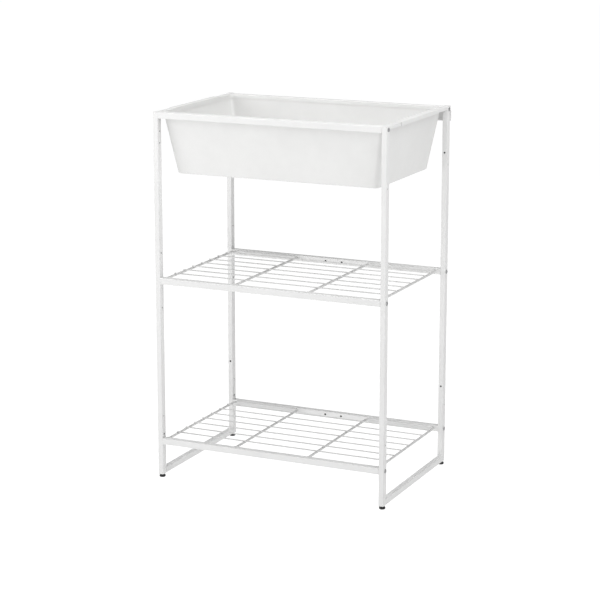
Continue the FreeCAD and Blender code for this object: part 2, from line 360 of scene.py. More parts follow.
class Signal:
    """A node's output. Sums and products of signals add Math nodes to their material."""

    def __init__(self, recipe, socket):
        self.recipe = recipe
        self.socket = socket

    def math(self, operation, first, second):
        return self.recipe.node("ShaderNodeMath", {"operation": operation}, {0: first, 1: second})

    def __add__(self, other):
        return self.math("ADD", self, other)

    def __sub__(self, other):
        return self.math("SUBTRACT", self, other)

    def __mul__(self, other):
        return self.math("MULTIPLY", self, other)

    def __rsub__(self, other):
        return self.math("SUBTRACT", other, self)

    __radd__ = __add__
    __rmul__ = __mul__


class Recipe:
    """One material, built node by node."""

    def __init__(self, name):
        self.material = bpy.data.materials.new(name)
        self.material.use_nodes = True
        self.tree = self.material.node_tree
        self.shader = self.tree.nodes["Principled BSDF"]

    def feed(self, socket, value):
        if isinstance(value, Signal):
            self.tree.links.new(value.socket, socket)
        else:
            socket.default_value = value

    def node(self, kind, settings, sockets, output=0):
        made = self.tree.nodes.new(kind)
        for name, value in settings.items():
            setattr(made, name, value)
        for name, value in sockets.items():
            self.feed(made.inputs[name], value)
        return Signal(self, made.outputs[output])

    def place(self, stretch=(1.0, 1.0, 1.0)):
        """Object coordinates, stretched along the axes."""
        spot = self.node("ShaderNodeTexCoord", {}, {}, "Object")
        return self.node("ShaderNodeMapping", {}, {"Vector": spot, "Scale": stretch})

    def noise(self, place, scale, detail=2.0):
        return self.node("ShaderNodeTexNoise", {},
                         {"Vector": place, "Scale": scale, "Detail": detail})

    def blend(self, share, first, second):
        return self.node("ShaderNodeMix", {"data_type": "RGBA"}, {0: share, 6: first, 7: second}, 2)

    def within(self, signal, low, high):
        """The signal spread from 0 at low to 1 at high."""
        return self.node("ShaderNodeMapRange", {"clamp": True},
                         {"Value": signal, "From Min": low, "From Max": high})

    def bump(self, height, depth):
        return self.node("ShaderNodeBump", {}, {"Height": height, "Distance": depth})

    def finish(self, **sockets):
        """Feed the shader's sockets, named in lower case with underscores."""
        for name, value in sockets.items():
            socket = name.replace("_", " ").title().replace("Ior", "IOR")
            self.feed(self.shader.inputs[socket], value)
        return self.material


def shade(colour, factor):
    """The colour made lighter or darker, with a full alpha."""
    return (*[channel * factor for channel in colour], 1.0)


def made_once(make):
    """Let a finish be asked for again by its name without being made again."""
    def finish(name, *settings):
        return bpy.data.materials.get(name) or make(name, *settings)
    return finish


@made_once
def powder_coat(name, colour, roughness, texture):
    """Baked powder coat: orange peel, fine grit and a slow drift in its thickness."""
    recipe = Recipe(name)
    place = recipe.place()
    drift = recipe.noise(place, 7.0)
    patches = recipe.noise(place, 38.0, 3.0)
    peel = recipe.noise(place, 420.0, 1.0)
    grit = recipe.noise(place, 2200.0, 1.0)
    thin = recipe.within(drift * 0.6 + patches * 0.4, 0.38, 0.62)
    tone = recipe.blend(thin, shade(colour, 0.975), shade(colour, 1.01))
    relief = peel * 0.75 + grit * 0.25
    return recipe.finish(
        base_color=tone,
        roughness=(patches - 0.5) * 0.12 + roughness,
        specular_ior_level=0.45,
        normal=recipe.bump(relief, texture))


@made_once
def zinc_plate(name, colour):
    """Dull zinc plating with a cloudy passivation and fine turning marks."""
    recipe = Recipe(name)
    clouds = recipe.noise(recipe.place(), 260.0, 4.0)
    marks = recipe.noise(recipe.place((1.0, 1.0, 14.0)), 900.0, 2.0)
    tone = recipe.blend(recipe.within(clouds, 0.3, 0.7), shade(colour, 0.7), shade(colour, 1.35))
    return recipe.finish(
        base_color=tone,
        metallic=0.85,
        roughness=clouds * 0.25 + 0.32,
        normal=recipe.bump(marks, 0.00002))


@made_once
def moulded_black(name, colour):
    """Black moulded plastic with a fine eroded grain, rubbed paler in scattered patches."""
    recipe = Recipe(name)
    place = recipe.place()
    grain = recipe.noise(place, 1500.0, 3.0)
    scuffs = recipe.within(recipe.noise(place, 170.0, 4.0), 0.55, 0.8)
    tone = recipe.blend(scuffs, shade(colour, 1.0), shade(colour, 2.6))
    return recipe.finish(
        base_color=tone,
        roughness=grain * 0.2 + 0.45,
        normal=recipe.bump(grain, 0.00005))


@made_once
def mill_scale_hole_shade(name, colour):
    """Dark scale that rolling leaves on steel, in streaks and flakes, where no paint reaches, and so
    dark that it paints shade in holes.
    """
    recipe = Recipe(name)
    flakes = recipe.noise(recipe.place(), 190.0, 4.0)
    tone = recipe.blend(recipe.within(flakes, 0.35, 0.65), shade(colour, 0.7), shade(colour, 1.5))
    return recipe.finish(
        base_color=tone,
        roughness=flakes * 0.3 + 0.5,
        normal=recipe.bump(flakes, 0.00004))


def frame_paint(context):
    colours = context.scene.planter_colours
    return powder_coat("white_frame_powder_coat", colours.frame_white, colours.coat_roughness,
                       colours.coat_texture)


# The rods' and wires' darker white is painted shade
def wire_paint(context):
    colours = context.scene.planter_colours
    return powder_coat("white_wire_powder_coat", colours.shaded_wire_white, colours.coat_roughness - 0.04,
                       colours.coat_texture * 0.6)


def tub_paint(context):
    colours = context.scene.planter_colours
    return powder_coat("white_tub_powder_coat", colours.tub_white, colours.coat_roughness + 0.03,
                       colours.coat_texture)


def zinc(context):
    return zinc_plate("zinc_plating", context.scene.planter_colours.zinc)


def bare_steel_hole_shade(context):
    return mill_scale_hole_shade("bare_tube_steel", context.scene.planter_colours.bare_steel_hole_shade)


def foot_plastic(context):
    return moulded_black("black_moulded_plastic", context.scene.planter_colours.foot_black)


# ---------------------------------------------------------------- square tubes

HOLE_RADIUS = 0.002                  # small accessory holes
INNER_HOLE_HEIGHTS = (0.155, 0.425, 0.560, 0.825, 0.853)
OUTER_HOLE_HEIGHTS = (0.155, 0.757)
STOP_HOLE_RADIUS = 0.0028            # one larger hole above the lower shelf
STOP_HOLE_HEIGHT = 0.110
FRONT_FACE_HOLE_RADIUS = 0.0023      # in the front faces of the rear posts
FRONT_FACE_HOLE_HEIGHTS = (0.203, 0.787)
RAIL_HOLE_RADIUS = 0.0025            # through the rear shelf rails
RAIL_HOLE_X = 0.022
CROSSBAR_HOLES_Y = (-0.152, -0.122, 0.122, 0.152)
HOLE_RIM = 0.00025                   # softening of a hole's rim
CAP_GAP = 0.00008                    # round a post's closing plate
CAP_CORNER = 0.0006
CAP_EDGE = 0.0004


def make_tube(name, node, axis, sizes):
    """Hollow square tube with rounded edges in the box of a CAD node, long way along axis."""
    low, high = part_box(node)
    tube = add_block(name, low, high)
    inwards = Vector((0.0, 0.0, 0.0))
    inwards[axis] = high[axis] - low[axis] - sizes.tube_wall
    with editing(tube):
        select_edges(tube, lambda a, b: abs((b - a).normalized()[axis]) > 0.99)
        bevel(sizes.tube_edge, 4)
        select_faces(tube, lambda centre, normal: normal[axis] < -0.99)
        inset(sizes.tube_wall)
        extrude(*inwards)
    return tube


def deliver_tube(context, tube, node):
    """Deliver a tube that is painted outside and at its holes' mouths, and bare inside, where very
    dark steel is painted shade in the holes.
    """
    smooth(tube)
    deliver(tube, "stand", "white_frame_paint", frame_paint(context), node)
    # Second slot: the inside's very dark steel, painted shade seen down the holes
    tube.data.materials.append(bare_steel_hole_shade(context))
    low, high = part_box(node)
    painted_depth = context.scene.planter_sizes.tube_wall * 0.7
    for face in tube.data.polygons:
        depth = min(min(face.center[i] - low[i], high[i] - face.center[i]) for i in range(3))
        if depth > painted_depth:
            face.material_index = 1


def hole_into(face, inwards, radius):
    """A drill's (start, end, radius): from just outside a face point to past the tube's wall."""
    return face - inwards * MILLIMETRE, face + inwards * (3 * MILLIMETRE), radius


def drill(tube, holes):
    """Cut round holes, given as (start, end, radius), and soften their outer rims."""
    bits = [add_rod("bit", start, end, radius, 24) for start, end, radius in holes]
    combine(tube, join("bits", bits), "DIFFERENCE")
    with editing(tube):
        select_edges(tube, lambda a, b: any(on_rim(a, b, hole) for hole in holes))
        bevel(HOLE_RIM, 2)
    return tube


def on_rim(a, b, hole):
    """True for an edge along a hole's circle close to its start, where it breaks the face."""
    start, end, radius = Vector(hole[0]), Vector(hole[1]), hole[2]
    along = (end - start).normalized()
    depths = [(point - start).dot(along) for point in (a, b)]
    if max(depths) > 1.2 * MILLIMETRE or abs(depths[0] - depths[1]) > TOUCH * 0.1:
        return False
    radii = [((point - start) - along * depth).length for point, depth in zip((a, b), depths)]
    return all(abs(value - radius) < TOUCH * 0.5 for value in radii)


def post_holes(node, side, is_rear):
    """Accessory holes of one post: inner face, outer face and, at the back, the front face."""
    low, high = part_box(node)
    middle = (low + high) / 2
    inner_x, outer_x = (low.x, high.x) if side == "right" else (high.x, low.x)
    outwards = Vector((mirrored(side), 0.0, 0.0))
    holes = [hole_into(Vector((inner_x, middle.y, height)), outwards, HOLE_RADIUS)
             for height in INNER_HOLE_HEIGHTS]
    holes.append(hole_into(Vector((inner_x, middle.y, STOP_HOLE_HEIGHT)), outwards,
                           STOP_HOLE_RADIUS))
    holes += [hole_into(Vector((outer_x, middle.y, height)), -outwards, HOLE_RADIUS)
              for height in OUTER_HOLE_HEIGHTS]
    if is_rear:
        holes += [hole_into(Vector((middle.x, low.y, height)), Vector((0.0, 1.0, 0.0)),
                            FRONT_FACE_HOLE_RADIUS) for height in FRONT_FACE_HOLE_HEIGHTS]
    return holes


class PLANTER_OT_posts(Operator):
    """Model the four corner posts as drilled square tubes"""

    bl_idname = "planter.posts"
    bl_label = "Posts"

    def execute(self, context):
        sizes = context.scene.planter_sizes
        for row in ROWS:
            for side in SIDES:
                node = f"{row}_{side}_post"
                cap_low, cap_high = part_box("post_top_caps")
                tube = make_tube(f"{node}_tube", node, 2, sizes)
                with editing(tube):
                    select_faces(tube, lambda centre, normal: normal.z > 0.99)
                    inset(sizes.tube_wall)
                    extrude(z=-(cap_high.z - cap_low.z) * 0.3)
                drill(tube, post_holes(node, side, row == "rear"))
                deliver_tube(context, tube, node)
        return {"FINISHED"}


class PLANTER_OT_post_caps(Operator):
    """Model the closing plates set into the tops of the posts"""

    bl_idname = "planter.post_caps"
    bl_label = "Post caps"

    def execute(self, context):
        sizes = context.scene.planter_sizes
        cap_low, cap_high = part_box("post_top_caps")
        plates = []
        for row in ROWS:
            for side in SIDES:
                low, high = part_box(f"{row}_{side}_post")
                gap = Vector((1.0, 1.0, 0.0)) * (sizes.tube_wall + CAP_GAP)
                bottom = Vector((low.x, low.y, cap_low.z)) + gap
                top = Vector((high.x, high.y, cap_high.z)) - gap
                plate = add_block("cap", bottom, top)
                with editing(plate):
                    select_edges(plate, lambda a, b: abs(a.z - b.z) > MILLIMETRE)
                    bevel(CAP_CORNER, 3)
                    select_edges(plate, lambda a, b: min(a.z, b.z) > cap_high.z - TOUCH)
                    bevel(CAP_EDGE, 3)
                plates.append(plate)
        caps = smooth(join("post_closing_plates", plates))
        deliver(caps, "stand", "white_frame_paint", frame_paint(context), "post_top_caps")
        return {"FINISHED"}


class PLANTER_OT_rails(Operator):
    """Model the six rails between the left and right posts"""

    bl_idname = "planter.rails"
    bl_label = "Rails"

    def execute(self, context):
        sizes = context.scene.planter_sizes
        for row in ROWS:
            for level in ("top", *SHELVES):
                node = f"{level}_{row}_rail"
                rail = make_tube(f"{node}_tube", node, 0, sizes)
                if row == "rear" and level in SHELVES:
                    low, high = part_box(node)
                    height = (low.z + high.z) / 2
                    reach = high.y - low.y + 2 * MILLIMETRE
                    holes = []
                    for x in (-RAIL_HOLE_X, RAIL_HOLE_X):
                        start = Vector((x, low.y - MILLIMETRE, height))
                        holes.append((start, start + Vector((0.0, reach, 0.0)), RAIL_HOLE_RADIUS))
                    drill(rail, holes)
                deliver_tube(context, rail, node)
        return {"FINISHED"}


class PLANTER_OT_crossbars(Operator):
    """Model the side tubes between the front and rear posts"""

    bl_idname = "planter.crossbars"
    bl_label = "Crossbars"

    def execute(self, context):
        sizes = context.scene.planter_sizes
        for side in SIDES:
            for level in ("top", "bottom"):
                node = f"{side}_{level}_crossbar"
                bar = make_tube(f"{node}_tube", node, 1, sizes)
                if level == "top":
                    low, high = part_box(node)
                    middle = (low + high) / 2
                    drill(bar, [hole_into(Vector((middle.x, middle.y + y, high.z)),
                                          Vector((0.0, 0.0, -1.0)), HOLE_RADIUS)
                                for y in CROSSBAR_HOLES_Y])
                deliver_tube(context, bar, node)
        return {"FINISHED"}


# ---------------------------------------------------------------- shelves

WIRE_COUNT = 7
ROD_BEND_STEPS = 10
ROD_FILLET = ((1.5, 0.0), (1.2, 0.0004), (1.05, 0.0011), (1.0, 0.0021))    # (radius factor, run)
WELD_SPOT_RADIUS = 0.0016
WELD_SPOT_DEPTH = 0.0007            # how far a weld spot starts below the wire
WELD_SPOT_RINGS = ((0.0004, 1.2), (0.0003, 1.05), (0.0004, 0.9), (0.0004, 0.75))    # (rise, factor)


def make_bent_rod(name, node, side, sizes):
    """U-shaped rod from the front rail, along the rear rail and back, with weld fillets."""
    low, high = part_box(node)
    radius = (high.z - low.z) / 2
    height = (high.z + low.z) / 2
    sign = mirrored(side)
    outer = high.x - radius if side == "right" else low.x + radius
    inner = low.x + radius if side == "right" else high.x - radius
    back = high.y - radius - sizes.rod_bend
    run = back - low.y - ROD_FILLET[-1][1]
    rod = add_disc(name, (outer, low.y, height), (0, -1, 0), radius * ROD_FILLET[0][0],
                   sizes.round_sides)

    def fillet(rings, x):
        for before, after in zip(rings, rings[1:]):
            extrude(y=after[1] - before[1])
            factor = after[0] / before[0]
            grow(factor, 1.0, factor, (x, low.y, height))

    def bend(x):
        spin_quarter((x, back, height), (0, 0, 1), ROD_BEND_STEPS, -sign)

    with editing(rod):
        bpy.ops.mesh.select_all(action="SELECT")
        fillet(ROD_FILLET, outer)
        extrude(y=run)
        bend(outer - sign * sizes.rod_bend)
        extrude(x=inner - outer + 2 * sign * sizes.rod_bend)
        bend(inner + sign * sizes.rod_bend)
        extrude(y=-run)
        fillet(ROD_FILLET[::-1], inner)
    outward_normals(rod)
    return rod


class PLANTER_OT_shelf_rods(Operator):
    """Model the two bent rods under each wire shelf"""

    bl_idname = "planter.shelf_rods"
    bl_label = "Shelf rods"

    def execute(self, context):
        sizes = context.scene.planter_sizes
        for shelf in SHELVES:
            for side in SIDES:
                node = f"{shelf}_{side}_rod"
                rod = make_bent_rod(f"{node}_bent", node, side, sizes)
                smooth(rod)
                deliver(rod, "stand", "white_wire_paint", wire_paint(context), node)
        return {"FINISHED"}


def wire_rows(shelf):
    """The wires' places from front to back, their radius and their height."""
    low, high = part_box(f"{shelf}_cross_wires")
    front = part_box(f"{shelf}_front_rail")[1].y
    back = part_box(f"{shelf}_rear_rail")[0].y
    pitch = (back - front) / (WIRE_COUNT + 1)
    rows = [front + pitch * (i + 1) for i in range(WIRE_COUNT)]
    return rows, (high.z - low.z) / 2, (high.z + low.z) / 2


class PLANTER_OT_cross_wires(Operator):
    """Model the straight wires across each shelf"""

    bl_idname = "planter.cross_wires"
    bl_label = "Cross wires"

    def execute(self, context):
        sizes = context.scene.planter_sizes
        for shelf in SHELVES:
            node = f"{shelf}_cross_wires"
            low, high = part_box(node)
            rows, radius, height = wire_rows(shelf)
            trim = radius * 0.8
            master = add_rod("wire", (low.x + trim, 0.0, height), (high.x - trim, 0.0, height),
                             radius, sizes.round_sides - 8)
            with editing(master):
                select_edges(master, lambda a, b: abs(a.x - b.x) < MILLIMETRE)
                bevel(radius * 0.85, 4)
            places = [Matrix.Translation((0.0, y, 0.0)) for y in rows]
            wires = smooth(copies(f"{node}_set", master, places))
            deliver(wires, "stand", "white_wire_paint", wire_paint(context), node)
        return {"FINISHED"}


class PLANTER_OT_weld_spots(Operator):
    """Model the squeezed-out metal where each wire is welded to a rod"""

    bl_idname = "planter.weld_spots"
    bl_label = "Weld spots"

    def execute(self, context):
        for shelf in SHELVES:
            rows, radius, height = wire_rows(shelf)
            seam = height - radius
            legs = []
            for side in SIDES:
                low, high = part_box(f"{shelf}_{side}_rod")
                rod_radius = (high.z - low.z) / 2
                legs += [low.x + rod_radius, high.x - rod_radius]
            master = add_disc("spot", (0.0, 0.0, seam - WELD_SPOT_DEPTH), (0, 0, -1),
                              WELD_SPOT_RADIUS, 12)
            with editing(master):
                bpy.ops.mesh.select_all(action="SELECT")
                for rise, factor in WELD_SPOT_RINGS:
                    extrude(z=rise)
                    grow(factor, factor, 1.0, (0.0, 0.0, seam))
            outward_normals(master)
            places = [Matrix.Translation((x, y, 0.0)) for x in legs for y in rows]
            spots = smooth(copies(f"{shelf}_weld_spots", master, places), 60.0)
            deliver(spots, "stand", "white_wire_paint", wire_paint(context))
        return {"FINISHED"}


# ---------------------------------------------------------------- frame welds

def add_bead(start, end, radius):
    """Rippled weld bead from start to end."""
    start, end = Vector(start), Vector(end)
    along = end - start
    count = max(4, round(along.length / (radius * 1.1)))
    step = along / count
    bead = add_disc("bead", start, -along, radius * 0.8, 10)
    with editing(bead):
        bpy.ops.mesh.select_all(action="SELECT")
        at = start.copy()
        for i in range(count):
            for share, factor in ((0.5, 1.25), (0.5, 0.8)):
                at += step * share
                extrude(*(step * share))
                grow(factor, factor, factor, at)
    outward_normals(bead)
    return bead


class PLANTER_OT_frame_welds(Operator):
    """Model the weld beads between the crossbars and the posts"""

    bl_idname = "planter.frame_welds"
    bl_label = "Frame welds"

    def execute(self, context):
        sizes = context.scene.planter_sizes
        beads = []
        for side in SIDES:
            for level in ("top", "bottom"):
                low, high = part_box(f"{side}_{level}_crossbar")
                inner_x = low.x if side == "right" else high.x
                free_z = low.z if level == "top" else high.z
                trim = sizes.tube_edge
                for y in (low.y, high.y):
                    beads.append(add_bead((low.x + trim, y, free_z), (high.x - trim, y, free_z),
                                          sizes.weld))
                    beads.append(add_bead((inner_x, y, low.z + trim), (inner_x, y, high.z - trim),
                                          sizes.weld))
        welds = smooth(join("frame_weld_beads", beads), 60.0)
        deliver(welds, "stand", "white_frame_paint", frame_paint(context))
        return {"FINISHED"}


# ---------------------------------------------------------------- tub

TUB_GAP = 0.001                     # between the tub's rim and a crossbar
HEM_STEP = 0.0002                   # height of the hem's lower edge
LIP_GAP = 0.0005                    # between a lip and the crossbar's outer face
LIP_DROP = 0.008
LIP_ROOT_DROP = 0.003               # how far a lip's root reaches down into the tub's rim
LIP_OVERLAP = 0.0001                # how far the root reaches into the rim's wall


def fold_moves(radius, start, end, steps):
    """(inwards, upwards) moves along a fold's circle, from angle start to end in degrees."""
    angles = [math.radians(start + (end - start) * i / steps) for i in range(steps + 1)]
    points = [(-radius * math.cos(a), radius * math.sin(a)) for a in angles]
    return [(b[0] - a[0], b[1] - a[1]) for a, b in zip(points, points[1:])]


def make_tub_shell(name, sizes):
    """Flared, round-cornered shell with real wall thickness and a folded hem inside its rim."""
    low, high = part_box("planter_tub")
    rail_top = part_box("top_front_rail")[1].z
    middle_y = (low.y + high.y) / 2
    top_half = (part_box("right_top_crossbar")[0].x - TUB_GAP, (high.y - low.y) / 2)
    fold = sizes.sheet
    rim_z = rail_top - fold
    bottom_half = (top_half[0] - sizes.flare, top_half[1] - sizes.flare)
    shell = add_block(name, (-top_half[0], low.y, low.z), (top_half[0], high.y, rim_z))
    lean = sizes.flare / (rail_top - low.z)
    with editing(shell):
        select_faces(shell, lambda centre, normal: normal.z < -0.99)
        grow(bottom_half[0] / top_half[0], bottom_half[1] / top_half[1], 1.0,
             (0.0, middle_y, low.z))
        select_edges(shell, lambda a, b: abs(a.z - b.z) > 0.05)
        bevel(sizes.tub_corner, 8)
        select_edges(shell, lambda a, b: max(a.z, b.z) < low.z + TOUCH)
        bevel(sizes.tub_bend, 4)
        select_faces(shell, lambda centre, normal: normal.z > 0.99)
        for inwards, upwards in fold_moves(fold, 0.0, 180.0, 6):
            inset(inwards, upwards)
        inset(sizes.hem * lean, -sizes.hem)
        mouth = [half - 2 * fold - sizes.hem * lean for half in top_half]
        extrude(z=-HEM_STEP)
        inside = [half + sizes.sheet * 0.9 for half in mouth]
        grow(inside[0] / mouth[0], inside[1] / mouth[1], 1.0, (0.0, middle_y, rim_z))
        floor_z = low.z + sizes.sheet
        inner_bottom = [half - sizes.sheet for half in bottom_half]
        extrude(z=-(rim_z - sizes.hem - HEM_STEP - floor_z - sizes.tub_bend))
        grow(inner_bottom[0] / inside[0], inner_bottom[1] / inside[1], 1.0, (0.0, middle_y, rim_z))
        for inwards, upwards in fold_moves(sizes.tub_bend, 0.0, 90.0, 4):
            inset(inwards, -upwards)
    return shell


def make_lip(sizes, side):
    """Hanging lip: hemmed strip from the rim over the crossbar and down its outer face."""
    low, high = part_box("planter_tub")
    bar_low, bar_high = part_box("right_top_crossbar")
    rim_x = bar_low.x - TUB_GAP
    middle_y = (low.y + high.y) / 2
    half = sizes.lip_length / 2
    thick = high.z - bar_high.z
    sign = mirrored(side)
    xs = sorted((sign * (rim_x - 2 * sizes.sheet), sign * high.x))
    strip = add_block("lip", (xs[0], middle_y - half, bar_high.z), (xs[1], middle_y + half, high.z))
    leg_x = sign * (bar_high.x + LIP_GAP)
    root_x = sign * (rim_x - LIP_OVERLAP)
    with editing(strip):
        for x in (leg_x, root_x):
            bpy.ops.mesh.select_all(action="SELECT")
            bpy.ops.mesh.bisect(plane_co=(x, 0.0, 0.0), plane_no=(1.0, 0.0, 0.0))
        select_faces(strip, lambda centre, normal: normal.z < -0.99 and abs(centre.x) > abs(leg_x))
        extrude(z=-LIP_DROP)
        select_faces(strip, lambda centre, normal: normal.z < -0.99 and abs(centre.x) < abs(root_x))
        extrude(z=-LIP_ROOT_DROP)
        select_edges(strip, lambda a, b: min(a.z, b.z) > high.z - TOUCH
                     and abs(abs(a.x) - high.x) < TOUCH and abs(a.y - b.y) > 0.1)
        bevel(thick * 0.9, 5)
        select_edges(strip, lambda a, b: min(a.z, b.z) > high.z - TOUCH
                     and abs(a.x) < rim_x - MILLIMETRE and abs(a.y - b.y) > 0.1)
        bevel(thick * 0.8, 5)
    return strip


class PLANTER_OT_tub(Operator):
    """Model the hanging sheet-metal tub with its hem and its two lips"""

    bl_idname = "planter.tub"
    bl_label = "Tub"

    def execute(self, context):
        sizes = context.scene.planter_sizes
        tub = make_tub_shell("planter_tub_sheet", sizes)
        for side in SIDES:
            combine(tub, make_lip(sizes, side), "UNION")
        smooth(tub)
        deliver(tub, "planter_box", "white_tub_paint", tub_paint(context), "planter_tub")
        return {"FINISHED"}


# ---------------------------------------------------------------- screws and plates

SHANK_RADIUS = 0.0025
SHANK_LENGTH = 0.024
TIP_CHAMFER = 0.0004
HEX_SOCKET_RADIUS = 0.0017
PLATE_TOP = 0.889                   # top of a corner plate beside its post
PLATE_CORNER = 0.002
PLATE_FOLD = 0.0015                 # rounding where a plate turns over its post
PLATE_HOLE_RADIUS = 0.00275
PLATE_HOLE_X = 0.009                # from a plate's free end
PLATE_SCREW_HEAD = 0.0016           # height of its flat head
PLATE_SCREW_RADIUS = 0.002
CROSS_SLOT = (0.0018, 0.0004)       # half length and half width of its cross slots


def make_button_screw(sizes, head_radius, head_height):
    """Button-headed screw along -X, its head's underside at the origin, with a hex socket."""
    screw = add_rod("screw", (0.0, 0.0, 0.0), (head_height, 0.0, 0.0), head_radius,
                    sizes.round_sides)
    with editing(screw):
        select_edges(screw, lambda a, b: min(a.x, b.x) > head_height - TOUCH)
        bevel(head_height * 0.8, 5)
        select_faces(screw, lambda centre, normal: normal.x < -0.99)
        inset(head_radius - SHANK_RADIUS)
        extrude(x=-SHANK_LENGTH)
        inset(TIP_CHAMFER, TIP_CHAMFER)
    socket = add_rod("socket", (head_height * 0.35, 0.0, 0.0), (head_height * 2, 0.0, 0.0),
                     HEX_SOCKET_RADIUS, 6)
    return combine(screw, socket, "DIFFERENCE")


class PLANTER_OT_rail_screws(Operator):
    """Model the screws that hold the rails' ends to the posts"""

    bl_idname = "planter.rail_screws"
    bl_label = "Rail screws"

    def execute(self, context):
        sizes = context.scene.planter_sizes
        post_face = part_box("front_right_post")[1].x
        for level in ("top", *SHELVES):
            node = f"{level}_rail_screws"
            low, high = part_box(node)
            head_radius = (high.z - low.z) / 2
            screw = make_button_screw(sizes, head_radius, high.x - post_face)
            places = []
            for row_y in (low.y + head_radius, high.y - head_radius):
                for side in SIDES:
                    spot = Vector((mirrored(side) * post_face, row_y, (low.z + high.z) / 2))
                    turn = Matrix.Rotation(math.pi if side == "left" else 0.0, 4, "Z")
                    places.append(Matrix.Translation(spot) @ turn)
            screws = smooth(copies(f"{node}_set", screw, places))
            deliver(screws, "stand", "screw_steel", zinc(context), node)
        return {"FINISHED"}


class PLANTER_OT_corner_plates(Operator):
    """Model the rear corner plates with their countersunk screws"""

    bl_idname = "planter.corner_plates"
    bl_label = "Corner plates"

    def execute(self, context):
        screw_low, screw_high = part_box("corner_plate_screws")
        screw_z = (screw_low.z + screw_high.z) / 2
        head_radius = (screw_high.z - screw_low.z) / 2
        heads = []
        for side in SIDES:
            post_low, post_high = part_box(f"rear_{side}_post")
            screw_x = (post_low.x + post_high.x) / 2
            self.make_plate(context, side, screw_x, screw_z, head_radius)
            heads.append(self.make_flat_screw(screw_x, screw_z, head_radius, screw_low.y,
                                              screw_high.y))
        screws = smooth(join("corner_plate_screw_pair", heads))
        deliver(screws, "stand", "screw_steel", zinc(context), "corner_plate_screws")
        return {"FINISHED"}

    def make_plate(self, context, side, screw_x, screw_z, head_radius):
        """Plate on a post's back, with a tab that turns over the post's top."""
        node = f"rear_{side}_corner_plate"
        low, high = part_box(node)
        post_low, post_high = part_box(f"rear_{side}_post")
        plate = add_block(f"{node}_pressed", (low.x, post_high.y, low.z),
                          (high.x, high.y, PLATE_TOP))
        with editing(plate):
            select_edges(plate, lambda a, b: abs(a.y - b.y) > MILLIMETRE)
            bevel(PLATE_CORNER, 4)
            for x in (post_low.x, post_high.x):
                bpy.ops.mesh.select_all(action="SELECT")
                bpy.ops.mesh.bisect(plane_co=(x, 0.0, 0.0), plane_no=(1.0, 0.0, 0.0))
            select_faces(plate, lambda centre, normal: normal.z > 0.99
                         and post_low.x < centre.x < post_high.x)
            extrude(z=post_high.z - PLATE_TOP)
            extrude(z=high.z - post_high.z)
            select_faces(plate, lambda centre, normal: normal.y < -0.99 and centre.z > post_high.z)
            extrude(y=low.y - post_high.y)
            select_edges(plate, lambda a, b: min(a.z, b.z) > high.z - TOUCH
                         and min(a.y, b.y) > high.y - TOUCH)
            bevel(PLATE_FOLD, 4)
        free_end = low.x if side == "right" else high.x
        hole_x = mirrored(side) * (abs(free_end) + PLATE_HOLE_X)
        drill(plate, [(Vector((hole_x, high.y + 0.0005, screw_z)),
                       Vector((hole_x, high.y - 0.004, screw_z)), PLATE_HOLE_RADIUS)])
        sink = add_rod("sink", (screw_x, high.y + MILLIMETRE, screw_z),
                       (screw_x, high.y - 0.0018, screw_z), head_radius + 0.0002, 24)
        combine(plate, sink, "DIFFERENCE")
        smooth(plate)
        deliver(plate, "stand", "white_frame_paint", frame_paint(context), node)

    def make_flat_screw(self, x, z, head_radius, tip_y, face_y):
        """Flat-headed screw with a cross slot, from its face at the back to its tip."""
        head = add_rod("head", (x, face_y - PLATE_SCREW_HEAD, z), (x, face_y - 0.0001, z),
                       head_radius, 24)
        with editing(head):
            select_edges(head, lambda a, b: min(a.y, b.y) > face_y - 2 * TOUCH)
            bevel(0.0004, 3)
            select_faces(head, lambda centre, normal: normal.y < -0.99)
            inset(head_radius - PLATE_SCREW_RADIUS)
            extrude(y=tip_y - face_y + PLATE_SCREW_HEAD)
            inset(TIP_CHAMFER, TIP_CHAMFER)
        for half_x, half_z in (CROSS_SLOT, CROSS_SLOT[::-1]):
            slot = add_block("slot", (x - half_x, face_y - 0.0009, z - half_z),
                             (x + half_x, face_y + MILLIMETRE, z + half_z))
            combine(head, slot, "DIFFERENCE")
        return head


# ---------------------------------------------------------------- feet

PAD_EDGE = 0.0012                   # rounding of a foot's base
PAD_SHOULDER = 0.0055               # height of its base, below the neck
PAD_NECK = 0.005                    # radius of the neck
PAD_RIB = 0.0003                    # how far its grip ribs stand out
PAD_RIB_ANGLE = 7.5                 # degrees from facet to facet
THREAD_PITCH = 0.001
THREAD_DEPTH = 0.00055
THREAD_RIDGE = 0.0004


